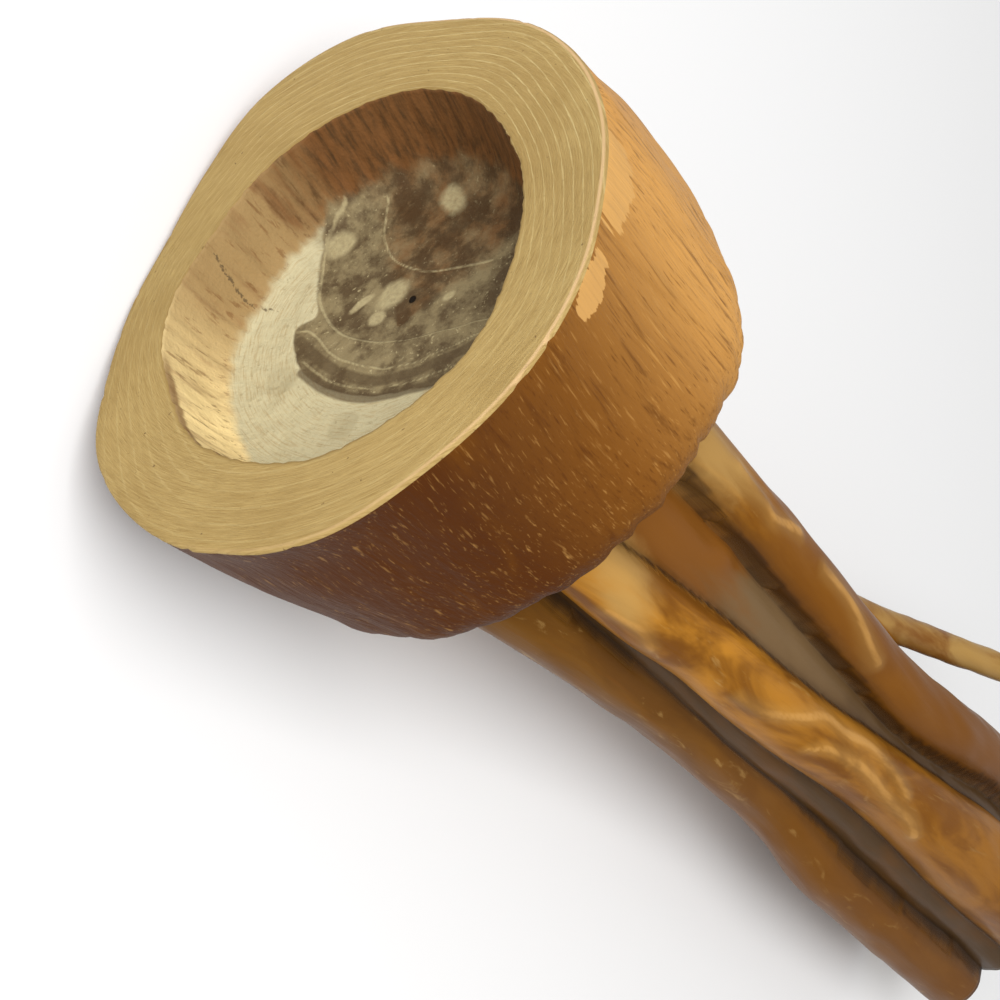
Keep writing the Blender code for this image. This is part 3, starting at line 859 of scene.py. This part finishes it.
torn = calc(hollow_wood, "MULTIPLY", rise(hollow_wood, torn, 1.1, 0.55), torn_share)
base = over(hollow_wood, torn, base, FLOOR_PALE)
spot = calc(hollow_wood, "MULTIPLY_ADD", wobble, 0.1, mark(hollow_wood, "faint_spot"))
base = over(hollow_wood, rise(hollow_wood, spot, 1.1, 0.8, 0.0, 0.25), base, FLOOR_GREY)
cutter_off = calc(hollow_wood, "MULTIPLY_ADD", fine, 0.5, mark(hollow_wood, "cutter_line"))
cutter_share = rise(hollow_wood, mottle, 0.3, 0.6, 0.25, 0.7)
cutter_line = rise(hollow_wood, cutter_off, 0.95, 0.35)
cutter_line = calc(hollow_wood, "MULTIPLY", cutter_line, cutter_share)
base = over(hollow_wood, cutter_line, base, FLOOR_PALE)
crack_width = rise(hollow_wood, fine, 0.3, 0.7, -0.2, 0.7)
crack_off = calc(hollow_wood, "SUBTRACT", mark(hollow_wood, "crack"), crack_width)
crack_share = rise(hollow_wood, crack_off, 0.4, 0.0)
base = over(hollow_wood, calc(hollow_wood, "MULTIPLY", crack_share, 0.8), base, FLOOR_DARK)
# Painted shade: the small bore is a black spot with a dent in the relief, not a hole in the mesh.
bore = rise(hollow_wood, mark(hollow_wood, "bore"), 1.5, 1.0)
base = over(hollow_wood, bore, base, BORE_PAINTED_SHADE)
relief = calc(hollow_wood, "MULTIPLY_ADD", fine, 0.4, mottle)
relief = calc(hollow_wood, "MULTIPLY_ADD", axial, 0.5, relief)
relief = calc(hollow_wood, "MULTIPLY_ADD", cutter_line, 0.35, relief)
relief = calc(hollow_wood, "MULTIPLY_ADD", bore, -2.0, relief)
finish_off(hollow_wood, base, HOLLOW_ROUGHNESS, relief, HOLLOW_RELIEF)


# The varnish on the shaved side and the stems: clear satin varnish over amber wood, with painted
# light on the head's lit side and painted shade, partly darker wood, low down on it, short pale
# streaks along the grain and bare patches beside the rim. The sunken stems are grey-brown, the
# ridges carry pale lines, and painted shade darkens the creases between the stems.
SIDE_PAINTED_LIGHT = (202, 148, 78)
SIDE_AMBER = (162, 105, 36)
SIDE_DARK_WOOD_AND_SHADE = (78, 40, 8)
STREAK_GOLD = (206, 156, 86)
BARE_PATCH = (206, 158, 92)
STEM_AMBER = (176, 118, 34)
STEM_DEEP = (114, 68, 11)
STEM_STRAW = (178, 142, 82)
STEM_GREY = (112, 88, 58)
STEM_DUSK = (76, 54, 28)
STEM_BROWN = (120, 74, 25)
LOWER_BROWN = (92, 58, 14)
RIDGE_PALE = (198, 148, 80)
CREASE_PAINTED_SHADE = (52, 32, 12)
SHOOT_STRAW = (164, 128, 70)
# How fine each pattern of the grain is, across it twice and along it, and how far apart on the
# pattern the stems lie, so that no two look the same.
LONG_GRAIN = (420.0, 420.0, 26.0)
FINE_GRAIN = (1300.0, 1300.0, 90.0)
FLECKS = (560.0, 560.0, 42.0)
POOLS = (60.0, 60.0, 16.0)
SWIRL = (140.0, 140.0, 34.0)
GRAIN_SHIFT = 0.3
VARNISH_SHINE = 0.07
STEM_ROUGHNESS = 0.34
SIDE_ROUGHNESS = 0.5
VARNISH_RELIEF = 0.0005
CREASE_DEPTHS = 220
CREASE_COLUMNS = 720
CREASE_REACH = 18
FAR_OFF = 20.0
# Oval patches: a depth, an angle, half a height, and half a width in degrees. The roots' angles
# are counted as the stems' are, and the bare patches' from the side of the head.
PALE_ROOTS = (((0.108, -8), 0.016, 9), ((0.120, -14), 0.012, 6), ((0.108, 50), 0.020, 9))
BARE_PATCHES = (((0.005, 327), 0.011, 14), ((0.006, 302), 0.006, 8))

reaches = stem_reach(angles, depths)
order = np.sort(reaches, axis=0)
stem_of = reaches.argmax(axis=0)
on_head = np.clip((around(BASE_DEPTHS, angles) + 0.001 - depths) / 0.002, 0.0, 1.0)
off_bundle = np.clip((radii - order[-1] - 0.0025) / 0.001, 0.0, 1.0) * (1 - on_head)
shoot_x, shoot_y, shoot_radius = shoot_axis(depths)
from_shoot = np.hypot(upright[:, 0] - shoot_x, upright[:, 1] - shoot_y)
on_shoot = off_bundle * (from_shoot < shoot_radius + 0.001) * (depths > stem_start.max())
set_mark("on_head", on_head)
set_mark("on_shoot", on_shoot)
# How far each place lies from the nearest crease between the stems, for the painted shade there.
crease_depths = np.linspace(0.085, SAWN_LENGTH, CREASE_DEPTHS)
crease_turns = np.linspace(-math.pi, math.pi, CREASE_COLUMNS, endpoint=False)
crease_gap = np.full((CREASE_DEPTHS, CREASE_COLUMNS), FAR_OFF)
for row, depth in enumerate(crease_depths):
    leading = stem_reach(crease_turns, depth).argmax(axis=0)
    parted = leading != np.roll(leading, 1)
    for step in range(CREASE_REACH):
        width = step * 2 * math.pi / CREASE_COLUMNS * FLAT_RADIUS * 1000
        close = np.roll(parted, step) | np.roll(parted, -step)
        crease_gap[row] = np.where(close, np.minimum(crease_gap[row], width), crease_gap[row])
row_of = np.clip(np.searchsorted(crease_depths, depths), 0, CREASE_DEPTHS - 1)
column_of = np.floor((angles + math.pi) / (2 * math.pi) * CREASE_COLUMNS).astype(int) % CREASE_COLUMNS
near_crease = crease_gap[row_of, column_of]
set_mark("near_crease", near_crease + FAR_OFF * on_head + FAR_OFF * on_shoot)


def on_stems(*names):
    """A share that is 1 on the stems of these names, where the skin is theirs."""
    numbers = [1 + list(STEMS).index(name) for name in names]
    return np.isin(stem_of, numbers) * (1 - on_head) * (1 - on_shoot)


set_mark("sunken_stem", on_stems("sunken_stem"))
set_mark("lower_stem", on_stems("lower_stem"))
set_mark("outer_lower_stems", on_stems("lower_outer_stem", "flank_stem"))
set_mark("upper_stem", on_stems("upper_stem"))
set_mark("down_stem", depths)
rolled = rolled_out(angles, depths)
ridge_near = np.min([distance_to(flat_line(ridge), rolled) for ridge in RIDGES], axis=0)
set_mark("ridge", ridge_near + FAR_OFF * on_head + FAR_OFF * on_shoot)


def patch_share(patches, turned):
    """How far each place, turned by so many degrees, lies from the nearest patch; 1 is its edge."""
    nearest = np.full(len(depths), FAR_OFF)
    for (depth, angle), tall, wide in patches:
        off = (turned - angle + 180.0) % 360.0 - 180.0
        nearest = np.minimum(nearest, np.hypot((depths - depth) / tall, off / wide))
    return nearest


set_mark("pale_root", patch_share(PALE_ROOTS, np.degrees(angles) + 90.0) + FAR_OFF * on_head)
set_mark("bare_patch", patch_share(BARE_PATCHES, np.degrees(angles)))
# Painted light on the head's side where the light falls, and painted shade, partly darker wood, on its
# side low down.
set_mark("side_shade_and_dark_wood", facing(222, 75) * on_head)
set_mark("side_painted_light", facing(345, 40) * on_head)
stem_middle = np.zeros((len(depths), 2))
for number, stations in enumerate(STEMS.values(), start=1):
    angle, distance, radius = along(stations, depths)
    angle = np.radians(angle)
    middle = np.stack([distance * np.sin(angle), -distance * np.cos(angle)], axis=1)
    own = (stem_of == number) & (on_head < 0.5)
    stem_middle[own] = middle[own]
grain = np.column_stack([from_middle - stem_middle, depths])
grain[:, 0] += GRAIN_SHIFT * stem_of * (on_head < 0.5)
set_mark("grain", grain)

varnished = finishes[VARNISHED]
varnished.use_nodes = True
long_grain = cloud(varnished, stretched(varnished, "grain", LONG_GRAIN), 1.0, 5.0, 0.6)
fine_grain = cloud(varnished, stretched(varnished, "grain", FINE_GRAIN), 1.0, 3.0, 0.6)
flecks = cloud(varnished, stretched(varnished, "grain", FLECKS), 1.0, 2.0, 0.5)
pools = cloud(varnished, stretched(varnished, "grain", POOLS), 1.0, 4.0, 0.55, 0.6)
swirl = cloud(varnished, stretched(varnished, "grain", SWIRL), 1.0, 5.0, 0.6, 1.2)

# Painted light and shade on the head's side: lighter where the light falls, darker low down, partly
# darker wood.
side = over(varnished, mark(varnished, "side_painted_light"), SIDE_AMBER, SIDE_PAINTED_LIGHT)
side = over(varnished, mark(varnished, "side_shade_and_dark_wood"), side, SIDE_DARK_WOOD_AND_SHADE)
side = over(varnished, rise(varnished, long_grain, 0.52, 0.72, 0.0, 0.55), side, SIDE_DARK_WOOD_AND_SHADE)
side = over(varnished, rise(varnished, pools, 0.5, 0.75, 0.0, 0.35), side, STEM_DEEP)
gold = rise(varnished, flecks, 0.64, 0.78, 0.0, 0.3)
side = over(varnished, gold, side, STREAK_GOLD)
side = over(varnished, rise(varnished, fine_grain, 0.58, 0.74, 0.0, 0.28), side, STREAK_GOLD)
side = over(varnished, rise(varnished, fine_grain, 0.42, 0.30, 0.0, 0.5), side, SIDE_DARK_WOOD_AND_SHADE)
patch_edge = calc(varnished, "MULTIPLY_ADD", long_grain, 0.9, mark(varnished, "bare_patch"))
bare = rise(varnished, patch_edge, 1.34, 1.26)
side = over(varnished, calc(varnished, "MULTIPLY", bare, 0.8), side, BARE_PATCH)

stem = over(varnished, rise(varnished, pools, 0.36, 0.62), STEM_DEEP, STEM_AMBER)
browned = calc(varnished, "MULTIPLY", mark(varnished, "outer_lower_stems"), 0.85)
stem = over(varnished, browned, stem, LOWER_BROWN)
stem = over(varnished, rise(varnished, swirl, 0.58, 0.72, 0.0, 0.5), stem, STEM_STRAW)
stem = over(varnished, rise(varnished, long_grain, 0.55, 0.72, 0.0, 0.35), stem, STEM_DEEP)
deepened = rise(varnished, mark(varnished, "down_stem"), 0.15, 0.38, 0.0, 0.55)
stem = over(varnished, deepened, stem, STEM_DEEP)
upper_deep = rise(varnished, mark(varnished, "down_stem"), 0.12, 0.16, 0.0, 0.9)
upper_deep = calc(varnished, "MULTIPLY", upper_deep, mark(varnished, "upper_stem"))
stem = over(varnished, upper_deep, stem, STEM_DEEP)
down = calc(varnished, "MULTIPLY_ADD", pools, 0.16, mark(varnished, "down_stem"))
sunken = over(varnished, rise(varnished, down, 0.215, 0.275), STEM_BROWN, STEM_GREY)
sunken = over(varnished, rise(varnished, down, 0.28, 0.42), sunken, STEM_DUSK)
stem = over(varnished, mark(varnished, "sunken_stem"), stem, sunken)
stem = over(varnished, mark(varnished, "lower_stem"), stem, over(varnished, rise(
    varnished, pools, 0.4, 0.7), STEM_DUSK, LOWER_BROWN))
root_edge = calc(varnished, "MULTIPLY_ADD", swirl, 1.4, mark(varnished, "pale_root"))
stem = over(varnished, rise(varnished, root_edge, 2.6, 0.9, 0.0, 0.7), stem, STEM_STRAW)
ridge_width = calc(varnished, "MULTIPLY_ADD", swirl, 2.4, -0.7)
ridge_off = calc(varnished, "SUBTRACT", mark(varnished, "ridge"), ridge_width)
stem = over(varnished, rise(varnished, ridge_off, 5.0, 0.5, 0.0, 0.2), stem, STEM_STRAW)
ridge_share = calc(varnished, "MULTIPLY", rise(varnished, ridge_off, 1.5, 0.0, 0.0, 0.6),
                   rise(varnished, pools, 0.38, 0.6, 0.15, 1.0))
stem = over(varnished, ridge_share, stem, RIDGE_PALE)
# Painted shade: the creases between the stems and the wood just beside them are darkened.
crease_off = calc(varnished, "MULTIPLY_ADD", long_grain, 1.6, mark(varnished, "near_crease"))
stem = over(varnished, rise(varnished, crease_off, 4.6, 1.0, 0.0, 0.35), stem, CREASE_PAINTED_SHADE)
stem = over(varnished, rise(varnished, crease_off, 2.2, 1.0, 0.0, 0.75), stem, CREASE_PAINTED_SHADE)
shoot_wood = over(varnished, rise(varnished, pools, 0.4, 0.7), SHOOT_STRAW, STEM_BROWN)
stem = over(varnished, mark(varnished, "on_shoot"), stem, shoot_wood)

skin_colour = over(varnished, mark(varnished, "on_head"), stem, side)
gloss = rise(varnished, mark(varnished, "on_head"), 0.0, 1.0, STEM_ROUGHNESS, SIDE_ROUGHNESS)
relief = calc(varnished, "MULTIPLY_ADD", flecks, 0.6, long_grain)
relief_share = rise(varnished, mark(varnished, "on_head"), 0.0, 1.0, 0.25, 1.0)
relief = calc(varnished, "MULTIPLY", relief, relief_share)
finish_off(varnished, skin_colour, gloss, relief, VARNISH_RELIEF, VARNISH_SHINE)


# The sawn ends of the bundle and the shoot: dry bare end grain with fine saw lines, left as the
# saw cut it, without varnish.
END_STRAW = (196, 160, 104)
END_DARK = (128, 92, 54)
END_ROUGHNESS = 0.75
END_RELIEF = 0.0004
SAW_LINES = (900.0, 90.0, 90.0)

sawn_end = finishes[SAWN]
sawn_end.use_nodes = True
saw_lines = cloud(sawn_end, stretched(sawn_end, "upright", SAW_LINES), 1.0, 4.0, 0.6)
end_mottle = cloud(sawn_end, stretched(sawn_end, "upright"), 120.0, 5.0, 0.6)
end_wood = over(sawn_end, rise(sawn_end, end_mottle, 0.35, 0.7), END_STRAW, END_DARK)
end_wood = over(sawn_end, rise(sawn_end, saw_lines, 0.55, 0.7, 0.0, 0.5), end_wood, END_DARK)
finish_off(sawn_end, end_wood, END_ROUGHNESS, saw_lines, END_RELIEF)

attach(branch, "root")
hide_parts("twisted_branch")


# The floor and the light: a plain pale table under soft daylight from all around, and one large
# soft lamp above and in front of the head.
FLOOR_REACH = 6.0
FLOOR_WHITE = (0.85, 0.85, 0.85, 1)
SKY_STRENGTH = 0.55
LAMP_PLACE = Vector((0.5, -1.2, 1.6))
LAMP_SIZE = 1.2
LAMP_POWER = 40

floor_mesh = bpy.data.meshes.new("floor")
floor_corners = [(-FLOOR_REACH, -FLOOR_REACH, 0), (FLOOR_REACH, -FLOOR_REACH, 0),
                 (FLOOR_REACH, FLOOR_REACH, 0), (-FLOOR_REACH, FLOOR_REACH, 0)]
floor_mesh.from_pydata(floor_corners, [], [(0, 1, 2, 3)])
floor = bpy.data.objects.new("floor", floor_mesh)
bpy.context.scene.collection.objects.link(floor)
paper = bpy.data.materials.new("pale_paper")
paper.use_nodes = True
paper.node_tree.nodes["Principled BSDF"].inputs["Base Color"].default_value = FLOOR_WHITE
floor_mesh.materials.append(paper)

world = bpy.data.worlds.new("soft_daylight")
bpy.context.scene.world = world
world.use_nodes = True
world.node_tree.nodes["Background"].inputs["Color"].default_value = (1, 1, 1, 1)
world.node_tree.nodes["Background"].inputs["Strength"].default_value = SKY_STRENGTH
bpy.context.scene.view_settings.view_transform = "Standard"

lamp = bpy.data.objects.new("key_light", bpy.data.lights.new("key_light", "AREA"))
bpy.context.scene.collection.objects.link(lamp)
lamp.data.size = LAMP_SIZE
lamp.data.energy = LAMP_POWER
lamp.location = LAMP_PLACE
lamp.rotation_euler = (RIM_MIDDLE - LAMP_PLACE).to_track_quat("-Z", "Y").to_euler()
